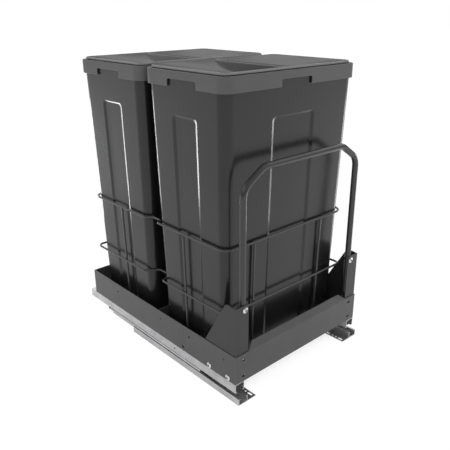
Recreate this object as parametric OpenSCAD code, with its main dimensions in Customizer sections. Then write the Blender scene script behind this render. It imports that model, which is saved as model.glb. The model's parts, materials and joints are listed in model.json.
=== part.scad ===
// Pull out bin frame: floor mounted ball slides, a sheet steel tray with an arch handle,
// a wire basket and two lift-out bins with drop-in lids.
// Millimetres, +Z up, front towards -Y, z = 0 on the cabinet floor.

/* [Tray] */
// Outside width across the side panels
tray_w = 348; // [320:1:400]
// Outside length from front panel to rear panel
tray_l = 480; // [470:1:520]
// Height of the four panels
panel_h = 57; // [48:1:75]
// Thickness of the folded sheet steel
sheet = 1.5; // [1.2:0.1:2]
// Rise of the leaning lip on top of the front panel
lip_rise = 12; // [6:1:20]
// How far the lip leans back
lip_lean = 8; // [3:1:10]
// Gap between the lip ends and the outside of the tray, at the lip's foot
lip_end = 33; // [33:1:60]
// Depth of the fold along the front panel's lower edge
fold_l = 18; // [10:1:24]
// Width of the door fixing slots
door_slot_w = 4.5; // [3.5:0.5:6]
// Length of the door fixing slots, end to end
door_slot_l = 8.5; // [7:0.5:12]
// Distance of the door slots from the tray side
door_slot_in = 20; // [14:1:24]
// Height of the lower door slots above the tray's lower edge
door_slot_z1 = 11; // [8:1:14]
// Height of the upper door slots above the tray's lower edge
door_slot_z2 = 45; // [36:1:48]

/* [Corner posts and arch handle] */
// Width of the post's front plate
post_w = 31; // [26:1:34]
// Height of the post's top above the tray's lower edge
post_top = 152; // [130:1:180]
// Length of the post's gusset at the tray's top edge
gusset_l = 82; // [50:1:90]
// Length of the post's gusset at its top
gusset_top = 25; // [12:1:30]
// Diameter of the handle bar
arch_d = 12; // [8:0.5:14]
// Distance of the arch legs from the tray side
arch_in = 24; // [20:1:30]
// Height of the arch's top bar above the tray's lower edge
arch_top = 387; // [300:1:420]
// Drop of the slanted shoulder of the arch
arch_drop = 30; // [20:1:50]
// Width of the slanted shoulder of the arch
arch_run = 46; // [30:1:80]
// Centre line radius of the arch bends
arch_r = 30; // [15:1:32]

/* [Slides] */
// Width of the slide rails
slide_w = 22; // [20:1:26]
// Height of the cabinet rail
cab_h = 13; // [12:0.5:16]
// Height of the drawer rail
drw_h = 17.5; // [16:0.5:22]
// Height of the visible strip of the middle rail
strip_h = 5; // [4:0.5:8]
// Clear height between the cabinet rail and the middle strip
low_gap = 1.5; // [1.5:0.1:3]
// Clear height between the middle strip and the drawer rail
up_gap = 2; // [1.5:0.1:3]
// Length of the cabinet rail
cab_l = 335; // [320:1:400]
// Length of the middle rail
mid_l = 322; // [300:1:400]
// Length of the drawer rail
drw_l = 502; // [490:1:540]
// How far the cabinet rail starts ahead of the tray
cab_lead = 9; // [0:1:15]
// How far the middle rail starts behind the tray front when closed
mid_back = 100; // [80:1:120]
// Width of the foot flange that is screwed to the cabinet floor
foot_w = 21; // [16:1:30]
// Width of the foot slots and diameter of the foot holes
foot_hole = 5; // [4:0.5:6]
// Length of the foot slots, end to end
foot_slot_l = 12; // [9:0.5:14]
// How far the drawer rail's inner ledge reaches in under the basket's crosswise wires
ledge_in = 16; // [12:1:20]
// Diameter of the bearing balls
ball_d = 4.8; // [4.4:0.1:5]

/* [Wire basket] */
// Diameter of the basket wire
wire_d = 4.5; // [4:0.5:5]
// Clear gap between the bins and the wires
wire_gap = 2.6; // [2:0.1:4]
// Height of the upper hoop above the tray's lower edge
hoop_hi = 241; // [200:1:280]
// Height of the lower hoop above the tray's lower edge
hoop_lo = 121; // [90:1:150]
// Corner radius of the upper hoop
hoop_hi_r = 22; // [15:1:30]
// Corner radius of the lower hoop
hoop_lo_r = 12; // [10:1:30]
// Depth of the upper hoop's waist between the bins
waist_hi = 13; // [8:1:14]
// Depth of the lower hoop's waist between the bins
waist_lo = 27; // [16:1:28]
// Distance of the lengthwise wires from the middle
long_x = 91; // [70:1:110]
// Place of the front crosswise wire, measured from the tray's middle
cross_y1 = -86; // [-110:1:-80]
// Place of the rear crosswise wire, measured from the tray's middle
cross_y2 = 118; // [100:1:130]

/* [Bins and lids] */
// Outside width of a bin's collar
collar_w = 333; // [320:1:336]
// Outside length of a bin's collar
collar_l = 213; // [205:1:214]
// Height of the collar's skirt
collar_h = 26; // [20:1:32]
// Corner radius of the collar
collar_r = 20; // [15:1:24]
// Thickness of the moulded plastic
wall = 2.4; // [2:0.1:3]
// Clear gap between the skirt and the bin's wall
skirt_gap = 1.6; // [1.2:0.1:3]
// Lean of the bin's walls in degrees
taper = 1.3; // [0.8:0.1:1.5]
// Corner radius of the bin's body
bin_r = 25; // [20:1:30]
// Height of the collar's top above the tray's lower edge
rim_z = 530; // [450:1:560]
// Distance between the middles of the two bins
bin_pitch = 226; // [224:1:230]
// How far the pair of bins sits behind the tray's middle
bin_back = 13.5; // [10:0.5:14]
// Depth of the sunk panels in the bin's walls
sink = 2; // [1:0.1:3]
// Width of the sunk panels in the bin's front and rear walls
sink_w = 102; // [80:1:130]
// Width of the sunk panels in the bin's side walls
sink_side_w = 60; // [40:1:80]
// Width of the finger notches in the collar
notch_w = 76; // [50:1:90]
// Height of the finger notches in the collar
notch_h = 13; // [8:1:16]
// Distance of the lid's edge from the collar's edge
lid_in = 7; // [5:1:10]
// Depth of the two hand scoops in the lid
scoop_d = 22; // [12:1:26]
// How far the crest between the scoops dips below the lid's edge
crest_dip = 4; // [1:0.5:6]

/* [Hidden] */
$fn = 48;
e = 0.01;
// Clearance of screws in their holes, of balls in their cage, of moving plastic from steel
screw_gap = 0.3;
cage_gap = 0.4;
rest_gap = 0.3;
// Depth by which welded wires and driven screws sink into each other
weld = 0.4;
bite = 0.2;

// Slide heights, from the cabinet floor up
strip_z = cab_h + low_gap;
drw_z = strip_z + strip_h + up_gap;
zt = drw_z + drw_h;
rail_lip = 4.5;
race = ball_d + 0.7;
tongue_w = slide_w - 2 * sheet - 2 * race;
upstand = 13;

// Places along Y: the tray's middle is set so that the whole box is centred on y = 0
y_front = -tray_l / 2;
y_rear = tray_l / 2;
box_front = y_front - cab_lead;
box_rear = y_front + drw_l;
y_set = -(box_front + box_rear) / 2;
hx = tray_w / 2;
cab_y = y_front - cab_lead;
mid_y = y_front + mid_back;
low_cage_y = mid_y + 5;
low_cage_l = 195;
up_cage_lead = 115;
up_cage_y = mid_y + up_cage_lead;
up_cage_l = 170;

// Screws: pan head, shank and holes
screw_d = 5;
head_d = 11.5;
head_h = 2.4;
hole_d = screw_d + 2 * screw_gap;
cross_l = 5;
cross_w = 1.5;
head_ball = 11;
rail_screw_back = [20, 71];
rail_screw_y = [for (d = rail_screw_back) y_front + d];
rail_screw_over = 2;
rail_screw_z = 6.5;
panel_hole_z = 39;
post_screw_y = y_front + 31;
member_screw_y = -18;
post_foot = upstand + 3;
arch_screw_z = post_top - 9;
arch_y = y_front + 2 * sheet + arch_d / 2;
arch_x = hx - arch_in;

// Bins: sizes at a height z above the tray's lower edge
lean = tan(taper);
bin_hw0 = collar_w / 2 - wall - skirt_gap;
bin_hl0 = collar_l / 2 - wall - skirt_gap;
function bin_hw(z) = bin_hw0 - (rim_z - collar_h - z) * lean;
function bin_hl(z) = bin_hl0 - (rim_z - collar_h - z) * lean;
y_bin1 = bin_back - bin_pitch / 2;
y_bin2 = bin_back + bin_pitch / 2;
// Centre line of the wires that stand along the bin's walls
function wire_x(z) = bin_hw(z) + wire_gap + wire_d / 2;
function wire_y(z) = bin_pitch / 2 + bin_hl(z) + wire_gap + wire_d / 2;
cross_z = wire_d / 2 - bite;
long_z = cross_z + wire_d - weld;
bin_z = long_z + wire_d / 2 + rest_gap;
leg_top = hoop_hi - wire_d / 2 + weld;
ledge_w = hx - slide_w - (wire_x(cross_z) - ledge_in);
lo_out = wire_d - weld;

// Lids: edge sits a shadow gap above the collar, resting on an inner ring
lid_gap = 1.3;
lid_edge = 3.7;
lid_r = 14;
lid_hw = collar_w / 2 - lid_in;
lid_hl = collar_l / 2 - lid_in;
lid_z = rim_z + lid_gap;
lid_top = lid_z + lid_edge;
spigot = 6;
// The lid rests by a step on the ledge round the bin's mouth, and a ring drops into the mouth
step_in = 4;
mouth_in = 8;
ring_gap = 1;
mouth_hw = lid_hw - mouth_in;
mouth_hl = lid_hl - mouth_in;
mouth_r = bin_r - wall;
ring_hw = mouth_hw - ring_gap;
ring_hl = mouth_hl - ring_gap;
ring_r = mouth_r - ring_gap;

// Shared shapes

// A rectangle with round corners, centred
module rrect(w, l, r) {
    square([w, l - 2 * r], center = true);
    square([w - 2 * r, l], center = true);
    for (sx = [-1, 1], sy = [-1, 1])
        translate([sx * (w / 2 - r), sy * (l / 2 - r)]) circle(r);
}

// A slot along the first axis
module slot2d(len, w) {
    square([len - w, w], center = true);
    for (s = [-1, 1]) translate([s * (len - w) / 2, 0]) circle(d = w);
}

// Draws at the tray's place along Y
module set_y() {
    translate([0, y_set, 0]) children();
}

// A profile given in (distance from the outer face, height) run along Y on the left side
module left_run(y0, len) {
    translate([-hx, y0 + len, 0]) rotate([90, 0, 0]) linear_extrude(len) children();
}

module right() {
    mirror([1, 0, 0]) children();
}

// A drilling along X through the left side wall at (y, z), from u0 to u1
module drill_x(y, z, d, u0, u1) {
    translate([-hx + u0, y, z]) rotate([0, 90, 0]) cylinder(d = d, h = u1 - u0);
}

// Bent wire in a plane: straight rods and round bends. The rods run a little way into the
// bends, which are swollen by a few hundredths so that the rod ends lie inside them.
swell = 0.06;
into = 0.4;
function ang(p, q) = atan2(q[1] - p[1], q[0] - p[0]);
function wrap(a) = a > 180 ? a - 360 : (a < -180 ? a + 360 : a);
function turn(p, q, r) = wrap(ang(q, r) - ang(p, q));
function cut(p, q, r, rad) = rad * tan(abs(turn(p, q, r)) / 2);

module rod2(p, q, d, c0, c1) {
    a = c0 > 0 ? c0 - into : 0;
    b = c1 > 0 ? c1 - into : 0;
    translate([p[0], p[1], 0]) rotate([0, 0, ang(p, q)]) translate([a, 0, 0])
        rotate([0, 90, 0]) cylinder(d = d, h = norm(q - p) - a - b);
}

module bend2(p, q, r, rad, d) {
    a = ang(p, q);
    t = turn(p, q, r);
    s = t > 0 ? 1 : -1;
    c = cut(p, q, r, rad);
    start = q - c * [cos(a), sin(a)];
    mid = start + s * rad * [-sin(a), cos(a)];
    translate([mid[0], mid[1], 0]) rotate([0, 0, t > 0 ? a - 90 : a + 90 + t])
        rotate_extrude(angle = abs(t)) translate([rad, 0]) circle(d = d + swell);
}

module wire_open(pts, rad, d) {
    n = len(pts);
    for (i = [0 : n - 2])
        rod2(pts[i], pts[i + 1], d,
            i == 0 ? 0 : cut(pts[i - 1], pts[i], pts[i + 1], rad),
            i == n - 2 ? 0 : cut(pts[i], pts[i + 1], pts[i + 2], rad));
    for (i = [1 : n - 2]) bend2(pts[i - 1], pts[i], pts[i + 1], rad, d);
}

module wire_loop(pts, rads, d) {
    n = len(pts);
    for (i = [0 : n - 1]) {
        h = pts[(i + n - 1) % n];
        p = pts[i];
        q = pts[(i + 1) % n];
        r = pts[(i + 2) % n];
        rod2(p, q, d, cut(h, p, q, rads[i]), cut(p, q, r, rads[(i + 1) % n]));
        bend2(h, p, q, rads[i], d);
    }
}

// A pan head screw along +Z: the head's seat is z = 0, the shank goes down
module pan_screw(len) {
    translate([0, 0, -len]) cylinder(d = screw_d, h = len + e);
    difference() {
        intersection() {
            cylinder(d = head_d, h = head_h);
            translate([0, 0, head_h - head_ball]) sphere(head_ball);
        }
        for (a = [0, 90]) rotate([0, 0, a]) translate([0, 0, head_h])
            cube([cross_l, cross_w, 2 * cross_w], center = true);
    }
}

// Slides

module cabinet_profile() {
    w = slide_w;
    polygon([[0, 0], [w + foot_w, 0], [w + foot_w, sheet], [w, sheet], [w, cab_h],
        [w - rail_lip, cab_h], [w - rail_lip, cab_h - sheet], [w - sheet, cab_h - sheet],
        [w - sheet, sheet], [sheet, sheet], [sheet, cab_h - sheet],
        [rail_lip, cab_h - sheet], [rail_lip, cab_h], [0, cab_h]]);
}

// Distances of the foot slots and holes from one end of the cabinet rail
foot_slots = [10, 43];
foot_holes = [21, 30];
foot_u = slide_w + foot_w - 5;

module cabinet_rail() {
    difference() {
        left_run(cab_y, cab_l) cabinet_profile();
        for (end = [0, 1]) {
            for (d = foot_slots)
                translate([-hx + foot_u, cab_y + (end == 0 ? d : cab_l - d), -1])
                    linear_extrude(sheet + 2) rotate(90) slot2d(foot_slot_l, foot_hole);
            for (d = foot_holes)
                translate([-hx + foot_u, cab_y + (end == 0 ? d : cab_l - d), -1])
                    cylinder(d = foot_hole, h = sheet + 2);
        }
    }
}

module cabinet_rail_left() {
    color("#c2c2c2") set_y() cabinet_rail();
}

module cabinet_rail_right() {
    color("#c2c2c2") set_y() right() cabinet_rail();
}

stop_u = sheet + race - 0.6;

stop_l = 13.5;
stop_back = 0.5;

module cabinet_stop_pair() {
    for (m = [0, 1])
        translate([m * (2 * -hx + slide_w), 0, 0]) mirror([m, 0, 0])
            left_run(cab_y + cab_l - stop_back - stop_l, stop_l)
                polygon([[sheet, sheet], [stop_u, sheet], [stop_u, strip_z - 0.4],
                    [rail_lip, strip_z - 0.4], [rail_lip, cab_h - sheet], [sheet, cab_h - sheet]]);
}

module cabinet_stops() {
    color("#202020") set_y() {
        cabinet_stop_pair();
        right() cabinet_stop_pair();
    }
}

// Ball rows: the cage's side walls hold the balls half way across the race
low_ball_z = 6.8;
up_ball_drop = 6;
up_ball_z = zt - sheet - up_ball_drop;
ball_u = sheet + race / 2;
cage_t = 1;
low_balls = 7;
up_balls = 6;
low_tongue_z = sheet + 0.5 + cage_t + 0.5;
up_tongue_z = zt - sheet - 0.5 - cage_t - 0.5;

function ball_y(y0, len, n, i) = y0 + len / n * (i + 0.5);

module lower_cage() {
    a = ball_u - cage_t / 2;
    b = slide_w - a;
    difference() {
        left_run(low_cage_y, low_cage_l)
            polygon([[a, sheet + 0.5], [b, sheet + 0.5], [b, cab_h - sheet - 0.5],
                [b - cage_t, cab_h - sheet - 0.5], [b - cage_t, sheet + 0.5 + cage_t],
                [a + cage_t, sheet + 0.5 + cage_t], [a + cage_t, cab_h - sheet - 0.5],
                [a, cab_h - sheet - 0.5]]);
        for (i = [0 : low_balls - 1])
            drill_x(ball_y(low_cage_y, low_cage_l, low_balls, i), low_ball_z,
                ball_d + 2 * cage_gap, 0, slide_w);
    }
}

module upper_cage() {
    a = ball_u - cage_t / 2;
    b = slide_w - a;
    top = zt - sheet - 0.5;
    low = drw_z + sheet + 0.5;
    difference() {
        left_run(up_cage_y, up_cage_l)
            polygon([[a, low], [a + cage_t, low], [a + cage_t, top - cage_t],
                [b - cage_t, top - cage_t], [b - cage_t, low], [b, low], [b, top], [a, top]]);
        for (i = [0 : up_balls - 1])
            drill_x(ball_y(up_cage_y, up_cage_l, up_balls, i), up_ball_z,
                ball_d + 2 * cage_gap, 0, slide_w);
    }
}

module ball_rows(y0, len, n, z) {
    for (i = [0 : n - 1], u = [ball_u, slide_w - ball_u])
        translate([-hx + u, ball_y(y0, len, n, i), z]) sphere(d = ball_d);
}

module lower_cage_left() {
    color("#7d7d7d") set_y() lower_cage();
}

module lower_cage_right() {
    color("#7d7d7d") set_y() right() lower_cage();
}

module lower_balls_left() {
    color("#d6d6d6") set_y() ball_rows(low_cage_y, low_cage_l, low_balls, low_ball_z);
}

module lower_balls_right() {
    color("#d6d6d6") set_y() right() ball_rows(low_cage_y, low_cage_l, low_balls, low_ball_z);
}

module upper_cage_left() {
    color("#7d7d7d") set_y() upper_cage();
}

module upper_cage_right() {
    color("#7d7d7d") set_y() right() upper_cage();
}

module upper_balls_left() {
    color("#d6d6d6") set_y() ball_rows(up_cage_y, up_cage_l, up_balls, up_ball_z);
}

module upper_balls_right() {
    color("#d6d6d6") set_y() right() ball_rows(up_cage_y, up_cage_l, up_balls, up_ball_z);
}

// The middle rail: a visible strip with one hollow tongue down and one up
module middle_rail() {
    a = slide_w / 2 - tongue_w / 2;
    b = slide_w / 2 + tongue_w / 2;
    c = 0.6;
    d = slide_w - 0.6;
    left_run(mid_y, mid_l) difference() {
        polygon([[a, low_tongue_z], [b, low_tongue_z], [b, strip_z], [d, strip_z],
            [d, strip_z + strip_h], [b, strip_z + strip_h], [b, up_tongue_z],
            [a, up_tongue_z], [a, strip_z + strip_h], [c, strip_z + strip_h],
            [c, strip_z], [a, strip_z]]);
        translate([a + sheet, low_tongue_z + sheet])
            square([tongue_w - 2 * sheet, up_tongue_z - low_tongue_z - 2 * sheet]);
    }
}

module middle_rail_left() {
    color("#c2c2c2") set_y() middle_rail();
}

module middle_rail_right() {
    color("#c2c2c2") set_y() right() middle_rail();
}

module middle_stop() {
    left_run(mid_y + mid_l, 8) translate([1.2, strip_z + 0.3])
        square([slide_w - 2.4, strip_h - 0.6]);
}

module middle_stop_left() {
    color("#202020") set_y() middle_stop();
}

module middle_stop_right() {
    color("#202020") set_y() right() middle_stop();
}

module drawer_profile() {
    w = slide_w;
    polygon([[0, drw_z], [rail_lip, drw_z], [rail_lip, drw_z + sheet], [sheet, drw_z + sheet],
        [sheet, zt - sheet], [w - sheet, zt - sheet], [w - sheet, drw_z + sheet],
        [w - rail_lip, drw_z + sheet], [w - rail_lip, drw_z], [w, drw_z], [w, zt], [0, zt]]);
}

// Holes of the drawer rail: distance from its front end, height from the tray's lower edge
access_back = 150;
access_y = y_front + access_back;
access_z = 8.5;
latch_back = 177;
latch_y = y_front + latch_back;
latch_z = -8.5;
access_d = 7;
latch_d = 4;

module drawer_rail() {
    difference() {
        union() {
            left_run(y_front, drw_l) drawer_profile();
            left_run(y_front + 2 * sheet + 1, tray_l - 12 - 2 * sheet) {
                translate([sheet, zt - e]) square([sheet, upstand + e]);
                translate([slide_w - e, zt - sheet]) square([ledge_w + e, sheet]);
            }
        }
        for (y = rail_screw_y)
            drill_x(y, zt + rail_screw_z, screw_d - 2 * bite, sheet - 1, 2 * sheet + 1);
        drill_x(access_y, zt + access_z, access_d + 1, sheet - 1, 2 * sheet + 1);
        drill_x(latch_y, zt + latch_z, latch_d, -1, sheet + 1);
    }
}

module drawer_rail_left() {
    color("#c8c8c8") set_y() drawer_rail();
}

module drawer_rail_right() {
    color("#c8c8c8") set_y() right() drawer_rail();
}

// Round ended plastic plug in the front end of each drawer rail
plug_in = 2;
plug_l = 12;
plug_flat = 4;

module rail_plug() {
    r = slide_w / 2 - sheet;
    left_run(y_front + plug_in, plug_l) {
        translate([sheet, zt - sheet - plug_flat]) square([2 * r, plug_flat]);
        difference() {
            translate([slide_w / 2, zt - sheet - plug_flat]) circle(r);
            translate([0, zt - sheet]) square([slide_w, r]);
        }
    }
}

module rail_plugs() {
    color("#2a2a2a") set_y() {
        rail_plug();
        right() rail_plug();
    }
}

// Tray

panel_holes = [y_front + 130, y_rear - 99];

module side_panel() {
    difference() {
        translate([-hx, y_front + sheet, zt]) cube([sheet, tray_l - sheet, panel_h]);
        for (y = panel_holes) drill_x(y, zt + panel_hole_z, 4.5, -1, sheet + 1);
        for (y = [post_screw_y, member_screw_y])
            drill_x(y, zt + panel_hole_z, screw_d - 2 * bite, -1, sheet + 1);
        drill_x(access_y, zt + access_z, access_d, -1, sheet + 1);
        for (y = rail_screw_y) drill_x(y, zt + rail_screw_z, hole_d, -1, sheet + 1);
    }
}

module side_panel_left() {
    color("#5e5e60") set_y() side_panel();
}

module side_panel_right() {
    color("#5e5e60") set_y() right() side_panel();
}

door_slot_x = hx - door_slot_in;

lip_mitre = 16;
fold_gap = 3;

// The lip is a folded flange with mitred ends that leans back over the tray, and the lower edge
// is folded in between the ledges of the drawer rails
module front_panel() {
    lw = tray_w - 2 * lip_end;
    fold_hw = hx - slide_w - ledge_w - fold_gap;
    color("#5e5e60") set_y() {
        translate([-fold_hw, y_front, zt]) cube([2 * fold_hw, fold_l, sheet]);
        difference() {
            translate([-hx, y_front, zt]) cube([tray_w, sheet, panel_h]);
            for (x = [-door_slot_x, door_slot_x], z = [door_slot_z1, door_slot_z2])
                translate([x, y_front + sheet + 1, zt + z]) rotate([90, 0, 0])
                    linear_extrude(sheet + 2) slot2d(door_slot_l, door_slot_w);
        }
        intersection() {
            translate([-lw / 2, 0, 0]) rotate([90, 0, 90]) linear_extrude(lw)
                polygon([[y_front, zt + panel_h - e], [y_front + sheet, zt + panel_h - e],
                    [y_front + sheet + lip_lean, zt + panel_h + lip_rise],
                    [y_front + lip_lean, zt + panel_h + lip_rise]]);
            translate([0, y_front + 2 * (sheet + lip_lean), zt + panel_h - 1]) rotate([90, 0, 0])
                linear_extrude(4 * (sheet + lip_lean))
                    polygon([[-lw / 2, 0], [lw / 2, 0], [lw / 2, 1],
                        [lw / 2 - lip_mitre, lip_rise + 2],
                        [-lw / 2 + lip_mitre, lip_rise + 2], [-lw / 2, 1]]);
        }
    }
}

rear_tab = 20;

module rear_panel() {
    color("#5e5e60") set_y() {
        translate([-hx + sheet, y_rear - sheet, zt])
            cube([tray_w - 2 * sheet, sheet, panel_h]);
        for (s = [-1, 1])
            translate([s > 0 ? hx - 2 * sheet : -hx + sheet, y_rear - rear_tab, zt + post_foot])
                cube([sheet, rear_tab, panel_h - post_foot - 3]);
    }
}

// Upright plate between the bins with a foot turned back, and end tabs screwed to the side
// panels
member_w = 35;
member_y = bin_back - member_w / 2;

module cross_member() {
    z0 = zt + post_foot;
    z1 = zt + panel_h - 5;
    inner = hx - sheet;
    color("#5e5e60") set_y() {
        rotate([90, 0, 90]) translate([0, 0, -inner]) linear_extrude(2 * inner)
            polygon([[member_y, z0], [member_y + member_w, z0],
                [member_y + member_w, z0 + sheet], [member_y + sheet, z0 + sheet],
                [member_y + sheet, z1], [member_y, z1]]);
        for (s = [0, 1]) mirror([s, 0, 0]) difference() {
            translate([-inner, member_screw_y - 10, z0])
                cube([sheet, member_y - member_screw_y + 10 + e, z1 - z0]);
            drill_x(member_screw_y, zt + panel_hole_z, hole_d, 0, 3 * sheet);
        }
    }
}

gusset_rise = 2;
gusset_cut = 4;

// The point at a distance from p on the way to q
function toward(p, q, d) = p + d * (q - p) / norm(q - p);

// Corner post: front plate behind the front panel, gusset inside the side panel. The gusset's
// tip is cut off.
module corner_post() {
    x0 = -hx + sheet;
    yp = y_front + sheet;
    slope = [yp + gusset_l, zt + panel_h];
    tip = [yp + gusset_top, zt + post_top + gusset_rise];
    heel = [yp, zt + post_top];
    tip_a = toward(tip, slope, gusset_cut);
    tip_b = toward(tip, heel, gusset_cut);
    difference() {
        union() {
            translate([x0, yp, zt + post_foot]) cube([post_w, sheet, post_top - post_foot]);
            translate([x0, 0, 0]) rotate([90, 0, 90]) linear_extrude(sheet)
                polygon([[yp, zt + post_foot], [yp + gusset_l, zt + post_foot], slope, tip_a, tip_b,
                    heel]);
        }
        translate([-door_slot_x, yp + sheet + 1, zt + door_slot_z2]) rotate([90, 0, 0])
            linear_extrude(sheet + 2) slot2d(door_slot_l + 1, door_slot_w + 1);
        translate([-arch_x, yp - 1, zt + arch_screw_z]) rotate([-90, 0, 0])
            cylinder(d = hole_d, h = sheet + 2);
        drill_x(post_screw_y, zt + panel_hole_z, hole_d, 0, 3 * sheet);
    }
}

module corner_post_left() {
    color("#5e5e60") set_y() corner_post();
}

module corner_post_right() {
    color("#5e5e60") set_y() right() corner_post();
}

arch_foot = 70;

module arch_handle() {
    pts = [[-arch_x, zt + arch_foot], [-arch_x, zt + arch_top - arch_drop],
        [-arch_x + arch_run, zt + arch_top], [arch_x - arch_run, zt + arch_top],
        [arch_x, zt + arch_top - arch_drop], [arch_x, zt + arch_foot]];
    color("#565658") set_y() difference() {
        translate([0, arch_y, 0]) rotate([90, 0, 0]) wire_open(pts, arch_r, arch_d);
        for (s = [-1, 1])
            translate([s * arch_x, arch_y - arch_d, zt + arch_screw_z]) rotate([-90, 0, 0])
                cylinder(d = hole_d, h = 2 * arch_d);
    }
}

// Screws

module rail_screws() {
    color("#dcdcdc") set_y() for (m = [0, 1], y = rail_screw_y)
        mirror([m, 0, 0]) translate([-hx, y, zt + rail_screw_z]) rotate([0, -90, 0])
            pan_screw(2 * sheet + rail_screw_over);
}

module post_screws() {
    color("#dcdcdc") set_y() for (m = [0, 1])
        mirror([m, 0, 0]) translate([-hx + 2 * sheet, post_screw_y, zt + panel_hole_z])
            rotate([0, 90, 0]) pan_screw(2 * sheet - 0.5);
}

module member_screws() {
    color("#dcdcdc") set_y() for (m = [0, 1])
        mirror([m, 0, 0]) translate([-hx + 2 * sheet, member_screw_y, zt + panel_hole_z])
            rotate([0, 90, 0]) pan_screw(2 * sheet - 0.5);
}

nut_t = 3;
nut_d = 9.2;
arch_screw_l = sheet + arch_d + nut_t;

module arch_screws() {
    color("#dcdcdc") set_y() for (s = [-1, 1])
        translate([s * arch_x, y_front + sheet, zt + arch_screw_z]) rotate([90, 0, 0])
            pan_screw(arch_screw_l + 0.5);
}

module arch_nuts() {
    color("#dcdcdc") set_y() for (s = [-1, 1])
        translate([s * arch_x, arch_y + arch_d / 2, zt + arch_screw_z]) rotate([-90, 0, 0])
            difference() {
                linear_extrude(nut_t) circle(d = nut_d, $fn = 6);
                translate([0, 0, -1]) cylinder(d = screw_d - 2 * bite, h = nut_t + 2);
            }
}

// Wire basket

// Points of a hoop round both bins: half width, half length, waist depth, half length
// of the waist and length of its slanted ends
function hoop_points(hw, hl, dp, hf, run) = [
    [-hw, -hl], [hw, -hl], [hw, -hf - run], [hw - dp, -hf], [hw - dp, hf], [hw, hf + run],
    [hw, hl], [-hw, hl], [-hw, hf + run], [-hw + dp, hf], [-hw + dp, -hf], [-hw, -hf - run]];
jog_r = 7;
function hoop_radii(r) = [r, r, jog_r, jog_r, jog_r, jog_r, r, r, jog_r, jog_r, jog_r, jog_r];

module upper_hoop() {
    color("#4c4c4e") set_y() translate([0, bin_back, zt + hoop_hi])
        wire_loop(hoop_points(wire_x(hoop_hi), wire_y(hoop_hi), waist_hi, 13, 9),
            hoop_radii(hoop_hi_r), wire_d);
}

module lower_hoop() {
    color("#4c4c4e") set_y() translate([0, bin_back, zt + hoop_lo])
        wire_loop(hoop_points(wire_x(hoop_lo) + lo_out, wire_y(hoop_lo) + lo_out, waist_lo, 14, 18),
            hoop_radii(hoop_lo_r), wire_d);
}

wire_bend = 6;

// Crosswise wire: up one side, under the bin and up the other side
module cross_wire(y) {
    translate([0, y, zt]) rotate([90, 0, 0])
        wire_open([[-wire_x(leg_top), leg_top], [-wire_x(cross_z), cross_z],
            [wire_x(cross_z), cross_z], [wire_x(leg_top), leg_top]], wire_bend, wire_d);
}

module cross_wire_front() {
    color("#4c4c4e") set_y() cross_wire(cross_y1);
}

module cross_wire_rear() {
    color("#4c4c4e") set_y() cross_wire(cross_y2);
}

// Lengthwise wire: up the front, under both bins and up the rear
module long_wire(x) {
    translate([x, bin_back, zt]) rotate([90, 0, 90])
        wire_open([[-wire_y(leg_top), leg_top], [-wire_y(long_z), long_z],
            [wire_y(long_z), long_z], [wire_y(leg_top), leg_top]], wire_bend, wire_d);
}

module long_wire_left() {
    color("#4c4c4e") set_y() long_wire(-long_x);
}

module long_wire_right() {
    color("#4c4c4e") set_y() long_wire(long_x);
}

// Bins and lids

// The leaning body of a bin between two heights, drawn in by a margin
module bin_body(z0, z1, m) {
    hull() for (z = [z0, z1 - e])
        translate([0, 0, zt + z]) linear_extrude(e)
            rrect(2 * (bin_hw(z) - m), 2 * (bin_hl(z) - m), bin_r - m);
}

// The sunk panel of one wall, as a leaning block; m makes it larger all round
module sunk_block(half, w, m) {
    top = rim_z - 75;
    z0 = bin_z - 5;
    translate([0, -half(top), zt + top]) rotate([taper, 0, 0])
        translate([0, sink + m, 0]) rotate([90, 0, 0]) linear_extrude(sink + m + 5) {
            translate([-w / 2 - m, z0 - top - 2]) square([w + 2 * m, top - z0 + m - 4]);
            translate([-w / 2 - m + 6, z0 - top - 2]) square([w + 2 * m - 12, top - z0 + m + 2]);
            for (s = [-1, 1]) translate([s * (w / 2 + m - 6), m - 6]) circle(6);
        }
}

module sunk_panels(m) {
    hw = function (z) bin_hw(z);
    hl = function (z) bin_hl(z);
    for (a = [0, 180]) {
        rotate([0, 0, a]) sunk_block(hl, sink_w, m);
        rotate([0, 0, a + 90]) sunk_block(hw, sink_side_w, m);
    }
}

module bin() {
    difference() {
        union() {
            difference() {
                bin_body(bin_z, rim_z, 0);
                sunk_panels(0);
            }
            difference() {
                translate([0, 0, zt + rim_z - collar_h]) linear_extrude(collar_h)
                    rrect(collar_w, collar_l, collar_r);
                translate([0, 0, zt + rim_z - collar_h - wall]) linear_extrude(collar_h)
                    rrect(collar_w - 2 * wall, collar_l - 2 * wall, collar_r - wall);
                for (a = [0, 90])
                    translate([0, 0, zt + rim_z - collar_h]) rotate([0, 0, a])
                        cube([notch_w, 2 * collar_w, 2 * notch_h], center = true);
            }
        }
        difference() {
            bin_body(bin_z + wall, rim_z - wall, wall);
            sunk_panels(wall);
        }
        translate([0, 0, zt + rim_z - 2 * wall]) linear_extrude(3 * wall)
            rrect(2 * mouth_hw, 2 * mouth_hl, mouth_r);
    }
}

module bin_front() {
    color("#4b4b4d") set_y() translate([0, y_bin1, 0]) bin();
}

module bin_rear() {
    color("#4b4b4d") set_y() translate([0, y_bin2, 0]) bin();
}

// Hand scoops of the lid: a long shallow curve down to a valley beside the middle crest.
// Points go along X from the outer edge to the crest, as (distance from the middle, height).
crest_hw = 4;
scoop_out = ring_hw - wall - 0.2;
scoop_half = ring_hl - wall - 0.2;
valley = 24;
function scoop_floor(k) =
    [for (i = [0 : 12]) let (t = i / 12)
        [-scoop_out + k + (scoop_out - valley - k) * t, -(scoop_d) * t * t - k * t]];
function scoop_rise(k) =
    [for (i = [1 : 8]) let (t = i / 8)
        [-valley + (valley - crest_hw - k) * t, -scoop_d * (1 - t * t) - k * (1 - t)]];

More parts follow.
